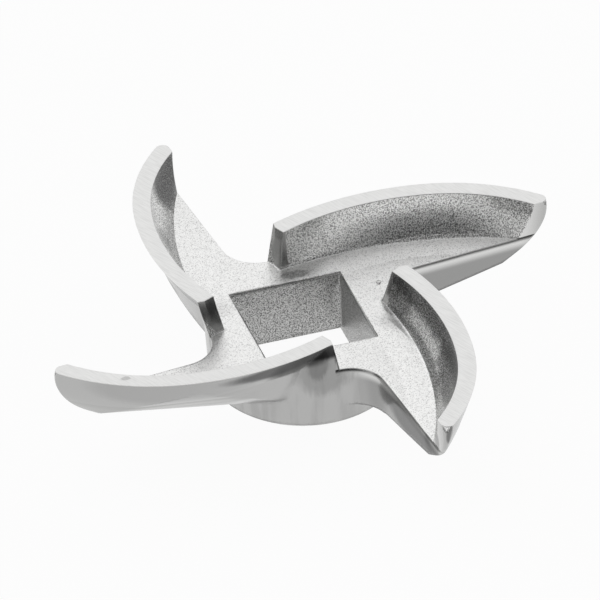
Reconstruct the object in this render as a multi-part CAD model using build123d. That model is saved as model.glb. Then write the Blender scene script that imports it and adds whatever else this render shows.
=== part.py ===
"""Four-bladed meat grinder knife of size 12: one stainless casting with a square drive hole.

The knife stands on the flat underside of its boss, and its ground lands face up.
The origin is at the centre of that underside, +Z is up, and the sides of the square
hole lie along X and Y.  All sizes are in millimetres.
"""
from build123d import *
from math import atan2, cos, exp, pi, radians, sin, sqrt
import os

# ---- driving dimensions -------------------------------------------------------
knife_diameter = 62.4      # circle swept by the blade tips
blade_count = 4            # blades, evenly spaced about the drive hole
hole_side = 12.7           # square drive hole, across its flats
hub_diameter = 22.0        # hub at the level of its floor
boss_diameter = 21.0       # flat underside of the boss
knife_height = 12.0        # underside of the boss to the cutting plane
blade_height = 4.3         # cutting plane above the floor of the hub
land_width = 2.0           # flat ground strip on top of each blade

undercut_slope = 0.56      # how far the leading face runs inward for each mm down
undercut_lean = 0.35       # how much more it does so at the foot than at the tip
scoop_reach = 4.65         # foot of the hollow wall behind the cutting edge, at its widest
scoop_closing = 1.64       # how much nearer that foot comes towards both ends
rim_slope = 0.1            # trailing side of the arm, against the line from the centre
rim_draft = 0.075          # how far the trailing side spreads for each mm down
keel_radius = 16.0         # belly of the arm
keel_rise = 0.13           # how far the belly climbs for each mm outward
keel_turn = -0.05          # how far it turns towards the trailing side for each mm outward
keel_sink = 0.7            # how far it lies below the arm's depth, at mid length
web_radius = 4.0           # concave corner between the hub and the arm
nose_drop = 7.5            # half height of the ellipse that the end of the blade follows
nose_run = 11.5            # half length of that ellipse
nose_radius = 0.8          # rounded end of the blade in plan, at the land
nose_edge = 0.25           # the same, lower down
boss_chamfer = 0.4         # lower edge of the boss
hole_chamfer = 0.2         # both mouths of the drive hole
stud_diameter = 0.7        # small cast stud on the floor of the hub
stud_height = 0.15

# ---- levels and reach -----------------------------------------------------------
land_z = knife_height
floor_z = knife_height - blade_height
arm_depth = 0.675 * floor_z                 # deepest part of the arm, below the hub floor
low_z = floor_z - arm_depth
reach = knife_diameter / 2

# ---- plan of the cutting edge of the first blade ---------------------------------
# Two arcs that meet without a kink.  A place on the edge is named by the heading of
# its outward normal, in degrees, which falls from the foot by the hub to the tip.
root_arc = 1.028 * reach
root_centre = (0.393 * reach, -0.575 * reach)
joint_heading = 79.1
nose_x = 0.982 * reach                      # furthest point of the ellipse
rim_start = (0.465 * reach, 0.144 * reach)  # the trailing side passes through it, at the hub floor
arm_back = -0.045 * reach                   # inner end of the arm, inside the hub, at the land
arm_back_lean = 0.6                         # how far that end moves outward for each mm down
nose_rise = 0.8                             # middle of the ellipse, below the land
nose_depth = nose_rise + 0.73 * nose_drop   # the ellipse ends here, and a straight line carries on
tail_run = 0.17 * reach                     # length of that line along the arm
nose_fade = 1.2                             # depth over which the rounded end sharpens
stud_place = (0.445 * hub_diameter, 0.139 * hub_diameter)
foot_x = 0.019 * reach                      # end of the land by the hub
foot_fall = 0.0685 * reach                  # how far that end is inside the edge's outermost point
scoop_headings = range(122, 24, -11)        # places along the edge that shape the hollow wall
scoop_middle = 78                           # heading at which the hollow wall is widest
scoop_spread = 32                           # turn from there over which it closes


def on_circle(centre, radius, angle, z):
    """Point of a level circle at an angle in radians."""
    return Vector(centre[0] + radius * cos(angle), centre[1] + radius * sin(angle), z)


def rim_y(x, z):
    """Trailing side of the arm: one plane with a little draft."""
    return rim_start[1] + rim_slope * (x - rim_start[0]) - rim_draft * (z - floor_z)


def nose_circle(z):
    """Centre and radius, at one height, of the rounded end between both sides of the arm."""
    depth = land_z - z
    radius = nose_edge + (nose_radius - nose_edge) * exp(-depth / nose_fade)
    on_ellipse = min(depth, nose_depth)
    fall = (on_ellipse - nose_rise) / nose_drop
    x = nose_x - nose_run * (1 - sqrt(1 - fall ** 2)) - radius
    x -= tail_run * (depth - on_ellipse) / (land_z - low_z - nose_depth)
    return (x, rim_y(x, z) + radius * sqrt(1 + rim_slope ** 2)), radius


def edge_arcs(z):
    """Centres and radii of the two arcs of the leading face at one height."""
    depth = land_z - z
    r_root = root_arc - undercut_slope * depth
    root = (root_centre[0] + undercut_lean * depth, root_centre[1])
    turn = radians(joint_heading)
    joint = on_circle(root, r_root, turn, z)
    nose, r_nose = nose_circle(z)
    dx, dy = joint.X - nose[0], joint.Y - nose[1]
    r_tip = (dx ** 2 + dy ** 2 - r_nose ** 2) / (2 * (dx * cos(turn) + dy * sin(turn) - r_nose))
    tip = (joint.X - r_tip * cos(turn), joint.Y - r_tip * sin(turn))
    return root, r_root, tip, r_tip


def edge_point(heading, z, inset=0.0):
    """Point of the leading face at a heading and height, moved inward by an inset."""
    root, r_root, tip, r_tip = edge_arcs(z)
    if heading >= joint_heading:
        return on_circle(root, r_root - inset, radians(heading), z)
    return on_circle(tip, r_tip - inset, radians(heading), z)


def arm_outline(z):
    """Plan of one arm at a height: leading face, rounded end, trailing side and back."""
    root, r_root, tip, r_tip = edge_arcs(z)
    nose, r_nose = nose_circle(z)
    turn = radians(joint_heading)
    back_x = arm_back + arm_back_lean * (land_z - z)
    start = Vector(back_x, root[1] + sqrt(r_root ** 2 - (back_x - root[0]) ** 2), z)
    start_turn = atan2(start.Y - root[1], start.X - root[0])
    nose_turn = atan2(nose[1] - tip[1], nose[0] - tip[0])
    rim_turn = atan2(-1, rim_slope)
    joint = on_circle(root, r_root, turn, z)
    outer = on_circle(nose, r_nose, nose_turn, z)
    inner = on_circle(nose, r_nose, rim_turn, z)
    back = Vector(back_x, rim_y(back_x, z), z)
    return Wire([
        ThreePointArc(start, on_circle(root, r_root, (start_turn + turn) / 2, z), joint),
        ThreePointArc(joint, on_circle(tip, r_tip, (nose_turn + turn) / 2, z), outer),
        ThreePointArc(outer, on_circle(nose, r_nose, (nose_turn + rim_turn) / 2, z), inner),
        Line(inner, back),
        Line(back, start),
    ])


def arm_bar():
    """The arm before its belly is cut: its end follows an ellipse, seen from the side."""
    steps = 6
    outlines = [arm_outline(land_z - nose_depth * step / steps) for step in range(steps + 1)]
    upper = Solid.make_loft(outlines)
    lower = Solid.make_loft([outlines[-1], arm_outline(low_z)], ruled=True)
    return Part() + upper + lower


def keel_trim():
    """Space above the belly of the arm, which is a cylinder that climbs outward."""
    centre = Vector(0.4776 * reach, -0.034 * reach, low_z + keel_radius - keel_sink)
    axis = Plane(origin=centre, z_dir=Vector(1, keel_turn, keel_rise))
    belly = axis * Cylinder(keel_radius, 4 * reach)
    middle = Vector(0.45 * reach, 0, floor_z + 0.56 * blade_height)
    above = Plane(origin=middle, z_dir=Vector(0.25, 0, 1)) * Location((0, 0, knife_height))
    return belly + above * Box(4 * reach, 4 * reach, 2 * knife_height)


def root_fairing():
    """Cast body of the arm's root, which the ground leading face runs out on."""
    centre = (0.410 * reach, -0.423 * reach)
    radius, draft = 0.806 * reach, 0.3
    top_z = floor_z + 0.65 * blade_height
    low_r, top_r = radius - draft * arm_depth, radius + draft * (top_z - floor_z)
    body = Location((*centre, (low_z + top_z) / 2)) * Cone(low_r, top_r, top_z - low_z)
    x0, x1, far = -0.05 * reach, 0.63 * reach, 0.64 * reach
    spans = [
        Wire.make_polygon([
            Vector(x0, rim_y(x0, z), z), Vector(x1, rim_y(x1, z), z), Vector(x1, far, z), Vector(x0, far, z),
        ])
        for z in (low_z, top_z)
    ]
    return body & Solid.make_loft(spans, ruled=True)


def foot_corner():
    """Outer corner of the land's end by the hub."""
    return Vector(foot_x, edge_point(90, land_z).Y - foot_fall, land_z)


def foot_flare():
    """Side of the hub carried up to the end of the land, which stands a little further out."""
    hub_r = hub_diameter / 2
    corner = foot_corner()
    cone = Cone(hub_r, sqrt(corner.X ** 2 + corner.Y ** 2), blade_height)
    back_x, front_x = -0.22 * hub_r, 0.45 * hub_r
    span = Box(front_x - back_x, hub_r, 2 * blade_height)
    middle_z = floor_z + blade_height / 2
    span_centre = Location(((back_x + front_x) / 2, 1.2 * hub_r, middle_z))
    return Location((0, 0, middle_z)) * cone & span_centre * span


def web_outline(z):
    """Plan of the concave corner between the hub and the trailing side of the arm."""
    hub_r = (boss_diameter + (hub_diameter - boss_diameter) * z / floor_z) / 2
    length = sqrt(1 + rim_slope ** 2)
    level = rim_y(0, z) - web_radius * length
    rr = hub_r + web_radius
    x = (-rim_slope * level + sqrt((rr * length) ** 2 - level ** 2)) / length ** 2
    centre = (x, rim_slope * x + level)
    rim_turn = atan2(1, -rim_slope)
    hub_turn = atan2(-centre[1], -centre[0]) % (2 * pi)
    on_rim = on_circle(centre, web_radius, rim_turn, z)
    on_hub = on_circle(centre, web_radius, hub_turn, z)
    middle = on_circle(centre, web_radius, (rim_turn + hub_turn) / 2, z)
    overlap = 0.25 * web_radius
    past_rim = Vector(on_rim.X, on_rim.Y + overlap, z)
    inner_x = 0.55 * x
    inside = Vector(inner_x, rim_y(inner_x, z) + overlap, z)
    in_hub = Vector(0.8 * hub_r, centre[1], z)
    return Wire([
        ThreePointArc(on_rim, middle, on_hub),
        Line(on_hub, in_hub),
        Line(in_hub, inside),
        Line(inside, past_rim),
        Line(past_rim, on_rim),
    ])


def scoop_wire(depth):
    """Plan of the space behind the blade, at a share of its height below the land.

    It is bounded by the hollow wall and open past the trailing side.
    """
    z = land_z - depth * blade_height
    wall = []
    for heading in scoop_headings:
        foot = scoop_reach - scoop_closing * ((heading - scoop_middle) / scoop_spread) ** 2
        wall.append(edge_point(heading, land_z, land_width + (foot - land_width) * depth ** 1.5))
    wall = [Vector(p.X, p.Y, z) for p in wall]
    near, out = wall[0], wall[-1]
    far_out, far_near = Vector(out.X, -reach, z), Vector(near.X, -reach, z)
    return Wire([Spline(*wall), Line(out, far_out), Line(far_out, far_near), Line(far_near, near)])


def foot_cut():
    """Space in front of the foot, whose end is two facets that lean as they rise."""
    hub_r = hub_diameter / 2
    far_x, far_y, near_y = -0.8 * hub_r, 1.5 * hub_r, 0.5 * hub_r
    ends = (
        (Vector(-0.5, hub_r, floor_z), Vector(0.4, -0.7), Vector(1.2, -3.0)),
        (foot_corner(), Vector(-0.05, -0.8), Vector(0.7, -2.4)),
    )
    outlines = []
    for corner, facet, inner in ends:
        x, z = corner.X, corner.Z
        outlines.append(Wire.make_polygon([
            Vector(x + inner.X, near_y, z), corner + inner, corner + facet, corner - facet,
            Vector(x, far_y, z), Vector(far_x, far_y, z), Vector(far_x, near_y, z),
        ]))
    return Solid.make_loft(outlines, ruled=True)


def blade():
    """One arm with its blade, up to and into the hub."""
    web = Solid.make_loft([web_outline(floor_z), web_outline(low_z)], ruled=True)
    body = (arm_bar() + root_fairing() + foot_flare() + web) & keel_trim()
    scoop = Solid.make_loft([scoop_wire(depth) for depth in (1, 0.65, 0.3, 0)])
    return body - scoop - foot_cut()


def stud():
    """Small cast stud on the floor of the hub, narrower at its top."""
    low_r, top_r = stud_diameter / 2, 0.36 * stud_diameter
    return Location((*stud_place, floor_z)) * Cone(low_r, top_r, 2 * stud_height)


def hole_mouth(z, outward):
    """Chamfer of one mouth of the drive hole, at the face it opens in."""
    squares = [
        Plane(origin=(0, 0, z + outward * step)) * Rectangle(side, side)
        for step, side in ((-hole_chamfer, hole_side), (hole_chamfer, hole_side + 4 * hole_chamfer))
    ]
    return loft(squares)


def knife():
    """The whole casting."""
    hub = Location((0, 0, floor_z / 2)) * Cone(boss_diameter / 2, hub_diameter / 2, floor_z)
    hub = chamfer(hub.edges().group_by(Axis.Z)[0], boss_chamfer)
    one = blade()
    body = Part() + hub + stud()
    for i in range(blade_count):
        body = body + Rot(0, 0, -360 / blade_count * i) * one
    hole = Location((0, 0, floor_z / 2)) * Box(hole_side, hole_side, 2 * knife_height)
    return body - hole - hole_mouth(0, -1) - hole_mouth(floor_z, 1)


def main():
    os.makedirs("parts", exist_ok=True)
    solid = knife()
    print("valid", solid.is_valid, "solids", len(solid.solids()), "volume", round(solid.volume))
    print(solid.bounding_box())
    export_step(solid, "parts/knife.step")


if __name__ == "__main__":
    main()
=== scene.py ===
"""Looks of a cast stainless meat grinder knife: its finishes, its marks, the studio and the camera.

Blender works in metres here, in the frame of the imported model: the origin is the centre of the
boss underside, +Z is up and the lands face up.  The finishes are laid out in millimetres.
"""

import logging
import math
from dataclasses import dataclass
from enum import Enum
from typing import Any

import bpy
from mathutils import Matrix, Vector


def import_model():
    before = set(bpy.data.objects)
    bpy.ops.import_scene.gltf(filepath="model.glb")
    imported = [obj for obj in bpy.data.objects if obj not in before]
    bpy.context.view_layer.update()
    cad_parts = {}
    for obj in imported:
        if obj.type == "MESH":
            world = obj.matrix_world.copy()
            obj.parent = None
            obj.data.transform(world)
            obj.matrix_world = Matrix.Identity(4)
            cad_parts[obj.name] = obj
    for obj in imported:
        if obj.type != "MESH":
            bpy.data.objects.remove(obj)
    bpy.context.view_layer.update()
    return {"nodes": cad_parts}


MM = 0.001
LOG = logging.getLogger("knife")

Tree = bpy.types.NodeTree
Node = bpy.types.Node
Socket = bpy.types.NodeSocket
Colour = tuple[float, float, float, float]
Triple = tuple[float, float, float]

WHITE: Colour = (1.0, 1.0, 1.0, 1.0)
NOISE_MIDDLE = 0.5
SMOOTH = {"interpolation_type": "SMOOTHSTEP"}
COLOUR_MIX = {"data_type": "RGBA"}


class Op(Enum):
    """Sums that a Math or Vector Math node can do here."""

    ABOVE = "GREATER_THAN"
    ABSOLUTE = "ABSOLUTE"
    ADD = "ADD"
    DIVIDE = "DIVIDE"
    DOT = "DOT_PRODUCT"
    LENGTH = "LENGTH"
    MAXIMUM = "MAXIMUM"
    MINIMUM = "MINIMUM"
    MULTIPLY = "MULTIPLY"
    MULTIPLY_ADD = "MULTIPLY_ADD"
    NORMALISE = "NORMALIZE"
    POWER = "POWER"
    SCALE = "SCALE"
    SUBTRACT = "SUBTRACT"

    @property
    def setting(self) -> dict[str, str]:
        """Settings of the node that does this sum."""
        return {"operation": self.value}


@dataclass(frozen=True)
class Ramp:
    """Change from a low value to a high one between two places."""

    start: float
    end: float
    low: float = 0.0
    high: float = 1.0

    def at(self, zero: float) -> "Ramp":
        """The same ramp, with its places counted from another zero."""
        return Ramp(self.start + zero, self.end + zero, self.low, self.high)

    @property
    def limits(self) -> dict[str, float]:
        """Values of the ramp, by the name of the input that takes each."""
        return {"From_Min": self.start, "From_Max": self.end, "To_Min": self.low, "To_Max": self.high}


def linear(hex_colour: str) -> Colour:
    """Turns an sRGB hex colour into the linear colour that Blender uses.

    Args:
        hex_colour: six hex digits after a #.

    Returns:
        Linear red, green and blue, and an alpha of 1.
    """
    digits = hex_colour.lstrip("#")
    values = [int(digits[i:i + 2], 16) / 255 for i in (0, 2, 4)]
    rgb = [v / 12.92 if v <= 0.04045 else ((v + 0.055) / 1.055) ** 2.4 for v in values]
    return rgb[0], rgb[1], rgb[2], 1.0


def direction(azimuth_deg: float, elevation_deg: float) -> Vector:
    """Gives the way from the knife to something that stands around it.

    Args:
        azimuth_deg: angle about +Z, from -Y towards +X.
        elevation_deg: angle above the floor.

    Returns:
        A vector of length 1.
    """
    turn, rise = math.radians(azimuth_deg), math.radians(elevation_deg)
    return Vector((math.sin(turn) * math.cos(rise), -math.cos(turn) * math.cos(rise), math.sin(rise)))


def add_node(tree: Tree, kind: str, settings: dict[str, Any] | None = None, **inputs: Any) -> Node:
    """Adds one node with its settings, values and links.

    Args:
        tree: node tree that gets the node.
        kind: Blender's name of the node type, without ShaderNode in front.
        settings: properties of the node, by name.
        **inputs: what each input gets: a value, an output socket, or a node, whose first
            output is taken.  An input is named by its label with underscores for spaces, or
            by i and its number.

    Returns:
        The new node.
    """
    node = tree.nodes.new("ShaderNode" + kind)
    for name, value in (settings or {}).items():
        setattr(node, name, value)
    for name, value in inputs.items():
        number = name[1:]
        socket = node.inputs[int(number) if number.isdigit() else name.replace("_", " ")]
        if isinstance(value, Node):
            value = value.outputs[0]
        if isinstance(value, Socket):
            tree.links.new(value, socket)
        else:
            socket.default_value = value
    return node


@dataclass(frozen=True)
class BlastedSteel:
    """Shot-blasted cast stainless steel, on the hub floor and on the walls behind the blades.

    The shot leaves a fine dent for each of its grains, so the steel looks dull and pale, with
    small dark and light specks and no sharp reflection.
    """

    # Painted light in part: paler than the shot alone makes them, standing in for bright light from
    # behind the knife.
    floor_colour: str = "#f8f8f7"
    wall_colour: str = "#f4f4f3"
    pit_colour: str = "#747473"
    roughness: float = 0.3
    speck_roughness: float = 0.75
    # Fine shot leaves dents of about 0.06 mm.  They are drawn twice as wide, so that they show.
    grain_mm: float = 0.125
    grain_depth_mm: float = 0.032
    grain_detail: float = 1.5
    grain_roughness: float = 0.6
    wall_pits: Ramp = Ramp(0.36, 0.58)            # by the grain: pit below, steel above
    floor_pits: Ramp = Ramp(0.3, 0.52, low=0.45)  # paler: light falls straight into them
    specks: Ramp = Ramp(0.58, 0.7)                # by the grain: the brightest of the dents
    pits_in_shade: float = 0.1                      # how much lower the grain is in painted shade
    glints_in_shade: float = 0.3                    # painted glint: how much paler a speck stays in painted shade


@dataclass(frozen=True)
class BroachedSteel:
    """Broached stainless steel, on the walls of the drive hole.

    They are cut to size and then dulled by the same shot, so they look grey and finely pitted.
    """

    colour: str = "#cacac9"
    pit_colour: str = "#5a5a59"
    roughness: float = 0.36


@dataclass(frozen=True)
class TumbledSteel:
    """Tumbled cast stainless steel, on the outside of the casting.

    Rubbing against other castings leaves it smooth and grey, so it mirrors what is around it
    softly, bent by the shallow waves of the mould.
    """

    # Painted shade in part: greyer than the steel alone, standing in for the shadowed floor that the
    # outside mirrors.
    colour: str = "#b4b4b3"
    streak_colour: str = "#aaaaa9"
    roughness: float = 0.22
    wave_mm: float = 3.0
    wave_depth_mm: float = 0.03
    wave_detail: float = 1.0
    streak_mm: float = 1.6
    streak_detail: float = 3.0
    streak_rise: float = 0.15                     # change along the height, against that around
    streaks: Ramp = Ramp(0.35, 0.6)               # by the pattern: streak below, steel above
    streak_reach: Ramp = Ramp(11.2, 12.2)         # by the distance from the axis: on the hub only


@dataclass(frozen=True)
class GroundSteel:
    """Stainless steel ground flat on a stone, on the lands of the blades.

    The four lands are ground together, so they look pale and flat, with fine lines that all
    run one way.
    """

    # Painted light in part: paler than ground steel alone, standing in for bright light from behind
    # the knife.
    colour: str = "#e8e8e7"
    line_colour: str = "#dededd"
    roughness: float = 0.3
    # The stone leaves lines of about 0.04 mm.  They are drawn three times as wide, to show.
    line_mm: float = 0.12
    line_length_mm: float = 2.0
    line_heading_deg: float = -63.0
    line_detail: float = 1.0
    lines: Ramp = Ramp(0.35, 0.6)                 # by the pattern: line below, steel above


@dataclass(frozen=True)
class ShadeAndScuff:
    """Egg-shaped place that is darker than the steel around it: most are painted shade and painted
    dark reflections, and the one on a land is a real scuff.
    """

    centre_mm: Triple
    half_mm: Triple
    shade: float                                  # share of its paleness that it keeps
    torn: float = 0.4                             # how ragged its outline is


@dataclass(frozen=True)
class ShadesAndScuffs:
    """The darker places of one finish (painted shade on most, a scuff on the lands), and how their
    outline is torn.
    """

    places: tuple[ShadeAndScuff, ...]
    stretch: Triple = (1.0, 1.0, 1.0)             # how fine the outline is along each axis
    tears_per_mm: float = 1.2
    tear_detail: float = 4.0
    tear_roughness: float = 0.7
    fade: Ramp = Ramp(0.65, 1.1)                  # from the middle, as a share of the half size


@dataclass(frozen=True)
class Blends:
    """Radii of the soft edges in millimetres, and where each one changes to the next."""

    rim_to_foot: Ramp = Ramp(0.7, 1.8, low=0.35, high=0.6)     # by the distance from the rim
    mouth_to_floor: Ramp = Ramp(0.4, 1.2, low=0.35, high=1.0)  # by that from the drive hole
    root_to_belly: Ramp = Ramp(9.0, 12.0, low=1.6, high=0.8)   # by the place along the blade
    root_to_land: Ramp = Ramp(-2.0, -0.8, low=1.6, high=0.05)  # by the height over the lands
    low_share: Ramp = Ramp(-2.0, -1.2, low=1.0, high=0.0)      # by the height over the floor
    samples: int = 8


@dataclass(frozen=True)
class Rim:
    """Upper edge of the trailing sides: rounded by the mould, with a painted reflection that is pale
    below the edge and grey lower down.
    """

    line_mm: tuple[float, float] = (3.04, 0.1)                 # its place in plan, and its slope
    turn: Ramp = Ramp(-1.8, 0.05)                              # by the height over the floor
    turn_power: float = 1.5                                    # the turn is quickest at the top
    turn_below: Ramp = Ramp(0.02, 0.1, low=1.0, high=0.0)      # it ends at the floor
    turn_along: Ramp = Ramp(8.5, 11.0)                         # it starts outside the web
    turn_behind: Ramp = Ramp(1.0, 3.0)                         # it leaves the edge sharp
    tone: Ramp = Ramp(-1.7, -0.6, low=0.7, high=1.5)           # painted reflection: grey low down, pale at the top
    tone_along: Ramp = Ramp(10.5, 12.5)
    tone_behind: Ramp = Ramp(2.0, 4.0)


@dataclass(frozen=True)
class Sweep:
    """Shallow rise of the hub floor towards the wall behind each blade."""

    fall: Ramp = Ramp(4.3, 7.7, low=1.0, high=0.0)             # by the distance from the edge
    along: Ramp = Ramp(2.5, 7.0)                               # it starts outside the foot
    rise_mm: float = 0.62


@dataclass(frozen=True)
class Spot:
    """Where a point of the casting lies, as nodes: places in millimetres, shares from 0 to 1."""

    place: Node                                   # its three coordinates
    height: Socket                                # above the boss underside
    from_axis: Node                               # from the axis, measured as a square
    along: Node                                   # along the trailing side of its blade
    across: Node                                  # square to that side
    from_edge: Node                               # behind the cutting edge, in plan
    land: Node                                    # share of the ground lands
    blasted: Node                                 # share of the floor and the walls
    level: Node                                   # share of the floor in these
    bore: Node                                    # share of the walls of the drive hole


@dataclass
class Casting:
    """The knife itself: one casting, with a finish for each kind of surface.

    Its four blades are alike.  The first lies between +X and +Y, the second between +Y and -X,
    the third between -X and -Y, and the fourth between -Y and +X.
    """

    land_mm: float = 12.0
    floor_mm: float = 7.7
    hole_half_mm: float = 6.35
    edge_arc_mm: Triple = (12.26, -17.94, 32.07)  # centre and radius of the first cutting edge
    land_part: Ramp = Ramp(-0.08, -0.03)                       # by the height over the lands
    raised_part: Ramp = Ramp(-0.1, -0.04)                      # by the height over the floor
    upward_part: Ramp = Ramp(0.02, 0.12)                       # by how far a face looks up
    level_part: Ramp = Ramp(0.75, 0.98)                        # the same
    wall_part: Ramp = Ramp(1.3, 1.4)                           # along the blade: after its foot
    bore_part: Ramp = Ramp(0.02, 0.08, low=1.0, high=0.0)      # by the distance from the hole
    blends: Blends = Blends()
    rim: Rim = Rim()
    sweep: Sweep = Sweep()
    blasted: BlastedSteel = BlastedSteel()
    broached: BroachedSteel = BroachedSteel()
    tumbled: TumbledSteel = TumbledSteel()
    ground: GroundSteel = GroundSteel()
    # Painted reflections: the deep walls are darkened where they mirror dark faces of the casting and
    # the shadow under it.
    wall_painted_reflections: ShadesAndScuffs = ShadesAndScuffs((
        ShadeAndScuff((-8.0, 28.0, 10.3), (3.5, 6.2, 4.5), 0.2),       # end of the second wall
        ShadeAndScuff((-8.0, 14.0, 7.6), (5.0, 12.0, 2.4), 0.74),      # foot of the second wall
        ShadeAndScuff((-8.0, 16.2, 9.8), (4.0, 3.0, 1.6), 0.66),       # middle of the second wall
        ShadeAndScuff((11.6, -11.0, 11.8), (4.0, 17.0, 2.2), 0.42),    # top of the fourth wall
        ShadeAndScuff((9.8, -3.0, 10.0), (2.5, 3.2, 2.6), 0.5),        # hub end of the fourth wall
        ShadeAndScuff((11.0, -19.5, 10.0), (4.5, 6.5, 2.0), 0.45),     # outer half of the fourth wall
        ShadeAndScuff((10.5, -12.0, 7.5), (4.0, 14.0, 1.3), 0.5),      # foot of the fourth wall
        ShadeAndScuff((27.5, 7.0, 11.8), (4.0, 3.5, 1.7), 0.7),        # top of the first wall, by its end
    ))
    # Painted shade: the floor is darkened at the feet of the walls and blades, where it mirrors their
    # dark faces.
    floor_painted_shade: ShadesAndScuffs = ShadesAndScuffs((
        ShadeAndScuff((9.3, -1.6, 7.7), (0.6, 2.0, 0.9), 0.45),        # along the foot of the fourth wall
        ShadeAndScuff((1.6, 7.7, 7.7), (1.9, 0.8, 0.6), 0.6, 1.0),     # at the foot of the first blade
    ))
    # Painted shade under the edges and at the roots, and painted dark reflections of the shadowed
    # floor along the belly and tip of the fourth blade.
    skin_painted_shade: ShadesAndScuffs = ShadesAndScuffs((
        ShadeAndScuff((-5.2, -12.2, 10.9), (9.4, 4.0, 1.5), 0.1, 0.15),    # under the third edge
        ShadeAndScuff((-4.4, -12.0, 10.2), (4.2, 3.0, 1.9), 0.3, 0.15),    # under its hub end
        ShadeAndScuff((-2.0, -11.3, 9.0), (1.3, 2.0, 2.8), 0.66, 0.8),     # streak below it
        ShadeAndScuff((-1.5, -11.3, 7.6), (3.8, 2.5, 3.6), 0.72, 0.5),     # root of the third blade
        ShadeAndScuff((-18.0, -12.0, 11.0), (14.0, 5.0, 3.0), 0.86, 0.15),  # outer part of its face
        ShadeAndScuff((-12.2, 5.2, 10.6), (4.0, 8.0, 1.8), 0.3, 0.2),      # under the second edge
        ShadeAndScuff((5.0, -21.5, 5.4), (3.0, 7.5, 2.4), 0.35, 0.3),      # belly of the fourth blade
        ShadeAndScuff((5.8, -26.5, 6.5), (1.5, 2.2, 1.7), 0.5, 0.3),       # outer end of that belly
        ShadeAndScuff((5.8, -28.1, 8.7), (1.0, 0.7, 1.5), 0.5, 0.2),       # where it climbs to the tip
        ShadeAndScuff((6.5, -30.5, 10.8), (0.5, 0.7, 1.5), 0.42, 0.2),     # tip of the fourth blade
    ), (2.0, 2.0, 0.4))
    land_stains: ShadesAndScuffs = ShadesAndScuffs((
        ShadeAndScuff((-23.8, -10.3, 12.0), (0.6, 0.4, 0.6), 0.72, 1.2),   # scuff on the third land
    ), (1.5, 1.5, 1.0))

    def dress(self, obj: bpy.types.Object) -> None:
        """Gives the casting its material.

        Args:
            obj: object of the CAD node.
        """
        material = self.steel()
        if not obj.material_slots:
            obj.data.materials.append(material)
        for slot in obj.material_slots:
            slot.link = "OBJECT"
            slot.material = material
        LOG.info("dressed %s in %s", obj.name, material.name)

    def steel(self) -> bpy.types.Material:
        """Builds cast stainless steel, whose finish changes from surface to surface.

        Returns:
            The material.
        """
        # Cast stainless steel: blasting leaves its inside pale and dull with fine dark specks,
        # tumbling leaves its outside grey and softly bright, and the stone leaves its lands pale.
        # Painted light and shade deepen these tones and darken some places.
        material = bpy.data.materials.new("cast_stainless_steel")
        material.use_nodes = True
        tree = material.node_tree
        tree.nodes.clear()
        spot = self.locate(tree)
        blast = self.blasted
        grain = add_node(tree, "TexNoise", Vector=spot.place, Scale=1 / blast.grain_mm,
                         Detail=blast.grain_detail, Roughness=blast.grain_roughness)
        specks = add_node(tree, "MapRange", SMOOTH, Value=grain, **blast.specks.limits)
        shader = add_node(tree, "BsdfPrincipled", Metallic=1.0,
                          Base_Color=self.colour(tree, spot, grain, specks),
                          Roughness=self.roughness(tree, spot, specks),
                          Normal=self.relief(tree, spot, grain))
        add_node(tree, "OutputMaterial", Surface=shader)
        return material

    def locate(self, tree: Tree) -> Spot:
        """Adds the places and the parts of the casting, which its finishes are laid out by.

        Args:
            tree: node tree of the material.

        Returns:
            Where a point of the casting lies.
        """
        coords = add_node(tree, "TexCoord").outputs
        place = add_node(tree, "VectorMath", Op.SCALE.setting, i0=coords["Object"], Scale=1 / MM)
        x, y, height = add_node(tree, "SeparateXYZ", i0=place).outputs
        facing = add_node(tree, "SeparateXYZ", i0=coords["Normal"]).outputs["Z"]
        far_x = add_node(tree, "Math", Op.ABSOLUTE.setting, i0=x)
        far_y = add_node(tree, "Math", Op.ABSOLUTE.setting, i0=y)
        from_axis = add_node(tree, "Math", Op.MAXIMUM.setting, i0=far_x, i1=far_y)

        # Each blade's own place, as if it were the first: the plan is the same for all four.
        product = add_node(tree, "Math", Op.MULTIPLY.setting, i0=x, i1=y)
        straight = add_node(tree, "Math", Op.ABOVE.setting, i0=product, i1=0.0)
        along = add_node(tree, "Mix", i0=straight, i2=far_y, i3=far_x)
        across = add_node(tree, "Mix", i0=straight, i2=far_x, i3=far_y)

        land = add_node(tree, "MapRange", SMOOTH, Value=height,
                        **self.land_part.at(self.land_mm).limits)
        raised = add_node(tree, "MapRange", SMOOTH, Value=height,
                          **self.raised_part.at(self.floor_mm).limits)
        upward = add_node(tree, "MapRange", SMOOTH, Value=facing, **self.upward_part.limits)
        level = add_node(tree, "MapRange", SMOOTH, Value=facing, **self.level_part.limits)
        walls = add_node(tree, "MapRange", SMOOTH, Value=along, **self.wall_part.limits)
        walls = add_node(tree, "Math", Op.MAXIMUM.setting, i0=walls, i1=level)
        blasted = add_node(tree, "Math", Op.MULTIPLY.setting, i0=raised, i1=upward)
        blasted = add_node(tree, "Math", Op.MULTIPLY.setting, i0=blasted, i1=walls)
        bore = add_node(tree, "MapRange", SMOOTH, Value=from_axis,
                        **self.bore_part.at(self.hole_half_mm).limits)
        return Spot(place, height, from_axis, along, across, self.from_edge(tree, along, across),
                    land, blasted, level, bore)

    def from_edge(self, tree: Tree, along: Node, across: Node) -> Node:
        """Adds the distance in plan from the blade's cutting edge.

        Args:
            tree: node tree of the material.
            along: place along the blade's trailing side.
            across: place square to that side.

        Returns:
            The node that gives the distance in millimetres.
        """
        centre_x, centre_y, radius = self.edge_arc_mm
        plan = add_node(tree, "CombineXYZ", X=along, Y=across)
        away = add_node(tree, "VectorMath", Op.SUBTRACT.setting, i0=plan, i1=(centre_x, centre_y, 0.0))
        length = add_node(tree, "VectorMath", Op.LENGTH.setting, i0=away).outputs["Value"]
        return add_node(tree, "Math", Op.SUBTRACT.setting, i0=radius, i1=length)

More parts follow.
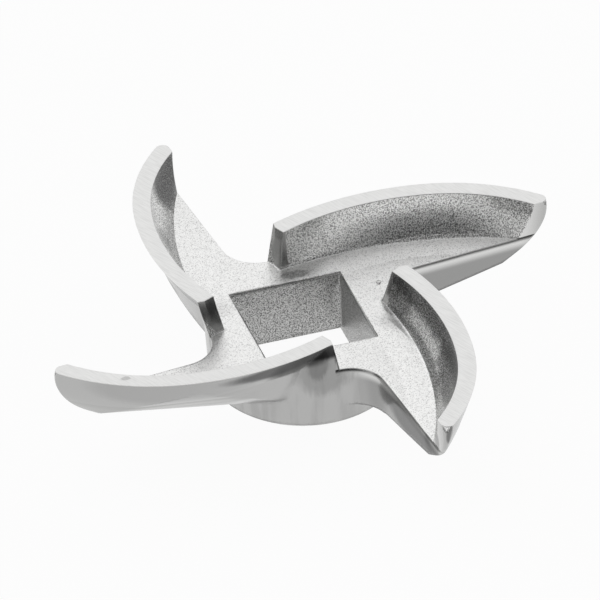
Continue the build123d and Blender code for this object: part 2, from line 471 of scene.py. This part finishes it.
    def colour(self, tree: Tree, spot: Spot, grain: Node, specks: Node) -> Socket:
        """Adds the colour of every surface of the casting.

        Args:
            tree: node tree of the material.
            spot: where the point lies.
            grain: pattern of the dents.
            specks: share of the light specks between them.

        Returns:
            The output that gives the colour.
        """
        blast, broach, stone = self.blasted, self.broached, self.ground
        # Painted shade and painted reflections on the walls and floor; the grain gets more pits there.
        on_wall = self.shade(tree, spot, self.wall_painted_reflections)
        on_floor = self.shade(tree, spot, self.floor_painted_shade)
        unshaded = add_node(tree, "Mix", i0=spot.level, i2=on_wall, i3=on_floor)
        pits = add_node(tree, "Math", Op.MULTIPLY_ADD.setting, i0=unshaded, i1=blast.pits_in_shade,
                        i2=-blast.pits_in_shade)
        pits = add_node(tree, "Math", Op.ADD.setting, i0=pits, i1=grain)
        deep = add_node(tree, "MapRange", SMOOTH, Value=pits, **blast.wall_pits.limits)
        shallow = add_node(tree, "MapRange", SMOOTH, Value=pits, **blast.floor_pits.limits)
        wall = add_node(tree, "Mix", COLOUR_MIX, i0=deep, i6=linear(blast.pit_colour),
                        i7=linear(blast.wall_colour))
        floor = add_node(tree, "Mix", COLOUR_MIX, i0=shallow, i6=linear(blast.pit_colour),
                         i7=linear(blast.floor_colour))
        inside = add_node(tree, "Mix", COLOUR_MIX, i0=spot.level, i6=wall.outputs[2],
                          i7=floor.outputs[2])
        # Painted glints: in painted shade the specks stay paler.
        pale = add_node(tree, "Math", Op.MULTIPLY_ADD.setting, i0=specks, i1=blast.glints_in_shade,
                        i2=unshaded)
        pale = add_node(tree, "Math", Op.MINIMUM.setting, i0=pale, i1=1.0)
        inside = add_node(tree, "VectorMath", Op.SCALE.setting, i0=inside.outputs[2], Scale=pale)
        bore = add_node(tree, "Mix", COLOUR_MIX, i0=deep, i6=linear(broach.pit_colour),
                        i7=linear(broach.colour))
        flat = add_node(tree, "Mix", COLOUR_MIX, i0=self.grinding_lines(tree, spot),
                        i6=linear(stone.line_colour), i7=linear(stone.colour))
        flat = add_node(tree, "VectorMath", Op.SCALE.setting, i0=flat.outputs[2],
                        Scale=self.shade(tree, spot, self.land_stains))
        colour = add_node(tree, "Mix", COLOUR_MIX, i0=spot.blasted, i6=self.skin(tree, spot),
                          i7=inside)
        colour = add_node(tree, "Mix", COLOUR_MIX, i0=spot.bore, i6=colour.outputs[2],
                          i7=bore.outputs[2])
        colour = add_node(tree, "Mix", COLOUR_MIX, i0=spot.land, i6=colour.outputs[2], i7=flat)
        return colour.outputs[2]

    def skin(self, tree: Tree, spot: Spot) -> Node:
        """Adds the colour of the tumbled outside, with streaks on the hub, painted shade, and the
        rim's painted reflection.

        Args:
            tree: node tree of the material.
            spot: where the point lies.

        Returns:
            The node that gives the colour.
        """
        steel = self.tumbled
        drawn = add_node(tree, "Mapping", Vector=spot.place, Scale=(1.0, 1.0, steel.streak_rise))
        streaks = add_node(tree, "TexNoise", Vector=drawn, Scale=1 / steel.streak_mm,
                           Detail=steel.streak_detail)
        streaks = add_node(tree, "MapRange", SMOOTH, Value=streaks, **steel.streaks.limits)
        plan = add_node(tree, "VectorMath", Op.MULTIPLY.setting, i0=spot.place, i1=(1.0, 1.0, 0.0))
        radius = add_node(tree, "VectorMath", Op.LENGTH.setting, i0=plan).outputs["Value"]
        clear = add_node(tree, "MapRange", SMOOTH, Value=radius, **steel.streak_reach.limits)
        streaks = add_node(tree, "Math", Op.MAXIMUM.setting, i0=streaks, i1=clear)
        skin = add_node(tree, "Mix", COLOUR_MIX, i0=streaks, i6=linear(steel.streak_colour),
                        i7=linear(steel.colour))
        skin = add_node(tree, "VectorMath", Op.SCALE.setting, i0=skin.outputs[2],
                        Scale=self.shade(tree, spot, self.skin_painted_shade))
        # Painted reflection on the trailing sides.
        return add_node(tree, "VectorMath", Op.SCALE.setting, i0=skin,
                        Scale=self.rim_painted_reflection(tree, spot))

    def rim_painted_reflection(self, tree: Tree, spot: Spot) -> Node:
        """Adds the painted reflection on the trailing sides: pale below their edge, greyer lower down.

        Args:
            tree: node tree of the material.
            spot: where the point lies.

        Returns:
            The node that gives the share of the colour to keep.
        """
        tone = add_node(tree, "MapRange", SMOOTH, Value=spot.height,
                        **self.rim.tone.at(self.floor_mm).limits)
        behind = add_node(tree, "MapRange", SMOOTH, Value=spot.from_edge,
                          **self.rim.tone_behind.limits)
        outer = add_node(tree, "MapRange", SMOOTH, Value=spot.along, **self.rim.tone_along.limits)
        part = add_node(tree, "Math", Op.MULTIPLY.setting, i0=behind, i1=outer)
        return add_node(tree, "Mix", i0=part, i2=1.0, i3=tone)

    def grinding_lines(self, tree: Tree, spot: Spot) -> Node:
        """Adds the lines of the stone: 0 in a line, 1 beside it.

        Args:
            tree: node tree of the material.
            spot: where the point lies.

        Returns:
            The node that gives the lines.
        """
        stone = self.ground
        turned = add_node(tree, "Mapping", Vector=spot.place,
                          Rotation=(0.0, 0.0, math.radians(-stone.line_heading_deg)))
        drawn = add_node(tree, "Mapping", Vector=turned,
                         Scale=(1 / stone.line_length_mm, 1 / stone.line_mm, 1.0))
        noise = add_node(tree, "TexNoise", Vector=drawn, Scale=1.0, Detail=stone.line_detail)
        return add_node(tree, "MapRange", SMOOTH, Value=noise, **stone.lines.limits)

    def shade(self, tree: Tree, spot: Spot, dark_spots: ShadesAndScuffs) -> Node | float:
        """Adds the share of its paleness that each place of a finish keeps.

        Args:
            tree: node tree of the material.
            spot: where the point lies.
            dark_spots: the darker places of the finish: painted shade on most finishes, a scuff on the
                lands.

        Returns:
            What gives the share: 1 away from the dark spots.
        """
        drawn = add_node(tree, "Mapping", Vector=spot.place, Scale=dark_spots.stretch)
        tears = add_node(tree, "TexNoise", Vector=drawn, Scale=dark_spots.tears_per_mm,
                         Detail=dark_spots.tear_detail, Roughness=dark_spots.tear_roughness)
        tears = add_node(tree, "Math", Op.SUBTRACT.setting, i0=tears, i1=NOISE_MIDDLE)
        share: Node | float = 1.0
        for dark_spot in dark_spots.places:
            away = add_node(tree, "VectorMath", Op.SUBTRACT.setting, i0=spot.place,
                            i1=dark_spot.centre_mm)
            away = add_node(tree, "VectorMath", Op.DIVIDE.setting, i0=away, i1=dark_spot.half_mm)
            length = add_node(tree, "VectorMath", Op.LENGTH.setting, i0=away).outputs["Value"]
            length = add_node(tree, "Math", Op.MULTIPLY_ADD.setting, i0=tears, i1=dark_spot.torn,
                              i2=length)
            fade = Ramp(dark_spots.fade.start, dark_spots.fade.end, low=dark_spot.shade)
            one = add_node(tree, "MapRange", SMOOTH, Value=length, **fade.limits)
            share = add_node(tree, "Math", Op.MULTIPLY.setting, i0=share, i1=one)
        return share

    def roughness(self, tree: Tree, spot: Spot, specks: Node) -> Node:
        """Adds the roughness of every surface of the casting.

        Args:
            tree: node tree of the material.
            spot: where the point lies.
            specks: share of the light specks of the blasted walls.

        Returns:
            The node that gives the roughness.
        """
        blast = self.blasted
        rough = add_node(tree, "Mix", i0=specks, i2=blast.roughness, i3=blast.speck_roughness)
        rough = add_node(tree, "Mix", i0=spot.level, i2=rough, i3=blast.roughness)
        rough = add_node(tree, "Mix", i0=spot.blasted, i2=self.tumbled.roughness, i3=rough)
        rough = add_node(tree, "Mix", i0=spot.bore, i2=rough, i3=self.broached.roughness)
        return add_node(tree, "Mix", i0=spot.land, i2=rough, i3=self.ground.roughness)

    def relief(self, tree: Tree, spot: Spot, grain: Node) -> Node:
        """Adds the dents, the waves of the mould, the sweep of the floor and the soft edges.

        Args:
            tree: node tree of the material.
            spot: where the point lies.
            grain: pattern of the dents.

        Returns:
            The node that gives the normal.
        """
        steel = self.tumbled
        waves = add_node(tree, "TexNoise", Vector=spot.place, Scale=1 / steel.wave_mm,
                         Detail=steel.wave_detail)
        waves = add_node(tree, "Math", Op.MULTIPLY.setting, i0=waves, i1=steel.wave_depth_mm)
        dents = add_node(tree, "Math", Op.MULTIPLY.setting, i0=grain,
                         i1=self.blasted.grain_depth_mm)
        dents = add_node(tree, "Math", Op.ADD.setting, i0=dents, i1=self.floor_sweep(tree, spot))
        shot = add_node(tree, "Math", Op.MAXIMUM.setting, i0=spot.blasted, i1=spot.bore)
        height = add_node(tree, "Mix", i0=shot, i2=waves, i3=dents)
        height = add_node(tree, "Mix", i0=spot.land, i2=height, i3=0.0)
        edges = add_node(tree, "Bevel", {"samples": self.blends.samples},
                         Radius=self.blend_radius(tree, spot))
        return add_node(tree, "Bump", Strength=1.0, Distance=MM, Height=height,
                        Normal=self.rounded_rim(tree, spot, edges))

    def floor_sweep(self, tree: Tree, spot: Spot) -> Node:
        """Adds the shallow sweep of the floor up to the wall behind the blade.

        Args:
            tree: node tree of the material.
            spot: where the point lies.

        Returns:
            The node that gives its height in millimetres.
        """
        fall = add_node(tree, "MapRange", Value=spot.from_edge, **self.sweep.fall.limits)
        outer = add_node(tree, "MapRange", SMOOTH, Value=spot.along, **self.sweep.along.limits)
        part = add_node(tree, "Math", Op.MULTIPLY.setting, i0=fall, i1=outer)
        return add_node(tree, "Math", Op.MULTIPLY.setting, i0=part, i1=self.sweep.rise_mm)

    def blend_radius(self, tree: Tree, spot: Spot) -> Node:
        """Adds the radius of the edges: sharp at the lands, soft where faces of the casting meet.

        Args:
            tree: node tree of the material.
            spot: where the point lies.

        Returns:
            The node that gives the radius in metres.
        """
        blends = self.blends
        line_start, line_slope = self.rim.line_mm
        rim = add_node(tree, "Math", Op.MULTIPLY_ADD.setting, i0=spot.along, i1=line_slope,
                       i2=line_start)
        rim = add_node(tree, "Math", Op.SUBTRACT.setting, i0=spot.across, i1=rim)
        radius = add_node(tree, "MapRange", SMOOTH, Value=rim, **blends.rim_to_foot.limits)
        mouth = add_node(tree, "MapRange", SMOOTH, Value=spot.from_axis,
                         **blends.mouth_to_floor.at(self.hole_half_mm).limits)
        radius = add_node(tree, "Math", Op.MINIMUM.setting, i0=radius, i1=mouth)
        low = add_node(tree, "MapRange", SMOOTH, Value=spot.height,
                       **blends.low_share.at(self.floor_mm).limits)
        root = add_node(tree, "MapRange", SMOOTH, Value=spot.along, **blends.root_to_belly.limits)
        root = add_node(tree, "Math", Op.MULTIPLY.setting, i0=low, i1=root)
        radius = add_node(tree, "Math", Op.MAXIMUM.setting, i0=radius, i1=root)
        high = add_node(tree, "MapRange", SMOOTH, Value=spot.height,
                        **blends.root_to_land.at(self.land_mm).limits)
        radius = add_node(tree, "Math", Op.MINIMUM.setting, i0=radius, i1=high)
        return add_node(tree, "Math", Op.MULTIPLY.setting, i0=radius, i1=MM)

    def rounded_rim(self, tree: Tree, spot: Spot, normal: Node) -> Node:
        """Rounds the upper edge of the trailing sides, as the mould leaves it.

        Args:
            tree: node tree of the material.
            spot: where the point lies.
            normal: the normal so far.

        Returns:
            The node that gives the normal.
        """
        rim = self.rim
        turn = add_node(tree, "MapRange", Value=spot.height, **rim.turn.at(self.floor_mm).limits)
        turn = add_node(tree, "Math", Op.POWER.setting, i0=turn, i1=rim.turn_power)
        below = add_node(tree, "MapRange", Value=spot.height,
                         **rim.turn_below.at(self.floor_mm).limits)
        outer = add_node(tree, "MapRange", SMOOTH, Value=spot.along, **rim.turn_along.limits)
        behind = add_node(tree, "MapRange", SMOOTH, Value=spot.from_edge, **rim.turn_behind.limits)
        solid = add_node(tree, "Math", Op.SUBTRACT.setting, i0=1.0, i1=spot.bore)
        for share in (below, outer, behind, solid):
            turn = add_node(tree, "Math", Op.MULTIPLY.setting, i0=turn, i1=share)
        up = add_node(tree, "CombineXYZ", Z=turn)
        turned = add_node(tree, "VectorMath", Op.ADD.setting, i0=normal, i1=up)
        return add_node(tree, "VectorMath", Op.NORMALISE.setting, i0=turned)


@dataclass
class Studio:
    """Plain white floor under a white dome, with a dark ceiling patch above the viewer.

    The patch is what a bright casting mirrors from a real room.  A grey haze around it softens
    its upper side.
    """

    floor_half: float = 3.0
    floor_gap: float = 0.00002                    # keeps the floor off the boss underside
    floor_colour: str = "#fcfcfc"
    floor_shadow: float = 0.05                    # share of the floor's own shading that is seen
    dome_colour: str = "#ffffff"
    dark_colour: str = "#080808"
    haze_colour: str = "#b4b4b4"
    dark_azimuth_deg: float = -6.0
    dark_elevation_deg: float = 43.0
    dark_narrowness: float = 0.42                 # its height against its width
    dark_reach_deg: tuple[float, float] = (9.0, 27.0)
    back_fade: Ramp = Ramp(0.75, 1.1)             # leaves out the half of the dome behind
    haze_squash: float = 0.9                      # the haze reaches a little higher, and
    haze_lift: float = -0.4                       # lies above the dark patch
    haze_reach: Ramp = Ramp(0.4, 0.8, low=1.0, high=0.0)
    lamp_power: float = 1.5
    lamp_place: Triple = (-0.5, 0.5, 1.1)
    lamp_size: float = 1.3

    def build(self) -> None:
        """Makes the floor, the world and the lamp."""
        self.floor()
        self.world()
        self.lamp()

    def floor(self) -> None:
        """Makes the floor, which is seen as white and keeps a light shadow."""
        mesh = bpy.data.meshes.new("studio_floor")
        h, z = self.floor_half, -self.floor_gap
        mesh.from_pydata([(-h, -h, z), (h, -h, z), (h, h, z), (-h, h, z)], [], [(0, 1, 2, 3)])
        floor = bpy.data.objects.new("studio_floor", mesh)
        bpy.context.scene.collection.objects.link(floor)
        # Matt white paper: it scatters all light alike, and is lit so brightly that it looks plain.
        material = bpy.data.materials.new("matt_white_paper")
        material.use_nodes = True
        tree = material.node_tree
        tree.nodes.clear()
        path = add_node(tree, "LightPath").outputs
        seen = add_node(tree, "Math", Op.MAXIMUM.setting, i0=path["Is Camera Ray"],
                        i1=path["Is Glossy Ray"])
        seen = add_node(tree, "Math", Op.MAXIMUM.setting, i0=seen, i1=path["Is Transmission Ray"])
        share = add_node(tree, "Math", Op.MULTIPLY.setting, i0=seen, i1=1 - self.floor_shadow)
        paper = add_node(tree, "BsdfDiffuse", Color=linear(self.floor_colour))
        glow = add_node(tree, "Emission", Color=WHITE, Strength=1.0)
        both = add_node(tree, "MixShader", i0=share, i1=paper, i2=glow)
        add_node(tree, "OutputMaterial", Surface=both)
        mesh.materials.append(material)

    def world(self) -> None:
        """Makes a white dome with a wide dark patch above the viewer."""
        world = bpy.data.worlds.new("soft_studio")
        bpy.context.scene.world = world
        world.use_nodes = True
        tree = world.node_tree
        tree.nodes.clear()
        middle = direction(self.dark_azimuth_deg, self.dark_elevation_deg)
        level = direction(self.dark_azimuth_deg + 90.0, 0.0)
        way = add_node(tree, "TexCoord").outputs["Generated"]
        ahead, aside, over = (
            add_node(tree, "VectorMath", Op.DOT.setting, i0=way, i1=tuple(axis)).outputs["Value"]
            for axis in (middle, level, middle.cross(level)))
        aside = add_node(tree, "Math", Op.MULTIPLY.setting, i0=aside, i1=self.dark_narrowness)
        behind = add_node(tree, "Math", Op.SUBTRACT.setting, i0=1.0, i1=ahead)
        behind = add_node(tree, "MapRange", SMOOTH, Value=behind, **self.back_fade.limits)
        offset = add_node(tree, "CombineXYZ", X=aside, Y=over, Z=behind)
        length = add_node(tree, "VectorMath", Op.LENGTH.setting, i0=offset).outputs["Value"]
        near, far = (math.sin(math.radians(angle)) for angle in self.dark_reach_deg)
        dark = add_node(tree, "MapRange", SMOOTH, Value=length,
                        **Ramp(near, far, low=1.0, high=0.0).limits)
        higher = add_node(tree, "Math", Op.MULTIPLY_ADD.setting, i0=over, i1=self.haze_squash,
                          i2=self.haze_lift)
        offset = add_node(tree, "CombineXYZ", X=aside, Y=higher, Z=behind)
        length = add_node(tree, "VectorMath", Op.LENGTH.setting, i0=offset).outputs["Value"]
        haze = add_node(tree, "MapRange", SMOOTH, Value=length, **self.haze_reach.limits)
        colour = add_node(tree, "Mix", COLOUR_MIX, i0=haze, i6=linear(self.dome_colour),
                          i7=linear(self.haze_colour))
        colour = add_node(tree, "Mix", COLOUR_MIX, i0=dark, i6=colour.outputs[2],
                          i7=linear(self.dark_colour))
        back = add_node(tree, "Background", Color=colour.outputs[2], Strength=1.0)
        add_node(tree, "OutputWorld", Surface=back)

    def lamp(self) -> None:
        """Adds a square soft lamp that points at the knife."""
        data = bpy.data.lights.new("key", "AREA")
        data.energy = self.lamp_power
        data.size = self.lamp_size
        lamp = bpy.data.objects.new("key", data)
        lamp.location = self.lamp_place
        lamp.rotation_euler = (-Vector(self.lamp_place)).to_track_quat("-Z", "Y").to_euler()
        bpy.context.scene.collection.objects.link(lamp)


@dataclass
class ProductCamera:
    """A long lens from the front left, looking down on the knife."""

    target_mm: Triple = (0.57, 2.86, 7.7)
    distance: float = 1.32296
    azimuth_deg: float = -17.964
    elevation_deg: float = 35.603
    roll_deg: float = -1.097
    lens_mm: float = 720.0
    sensor_mm: float = 36.0
    clip_end: float = 20.0

    def build(self) -> None:
        """Makes the camera and sets it as the scene's."""
        data = bpy.data.cameras.new("product_camera")
        data.lens = self.lens_mm
        data.sensor_width = self.sensor_mm
        data.clip_end = self.clip_end
        camera = bpy.data.objects.new("product_camera", data)
        away = direction(self.azimuth_deg, self.elevation_deg)
        facing = away.to_track_quat("Z", "Y").to_matrix().to_4x4()
        place = Matrix.Translation(Vector(self.target_mm) * MM + away * self.distance)
        camera.matrix_world = place @ facing @ Matrix.Rotation(math.radians(self.roll_deg), 4, "Z")
        bpy.context.scene.collection.objects.link(camera)
        bpy.context.scene.camera = camera


def main() -> None:
    """Loads the frame, dresses the casting, and sets up the studio and the camera."""
    logging.basicConfig(level=logging.INFO, format="%(name)s: %(message)s")
    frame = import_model()
    bpy.context.scene.view_settings.view_transform = "Standard"
    Casting().dress(frame["nodes"]["knife"])
    Studio().build()
    ProductCamera().build()


if __name__ == "__main__":
    main()
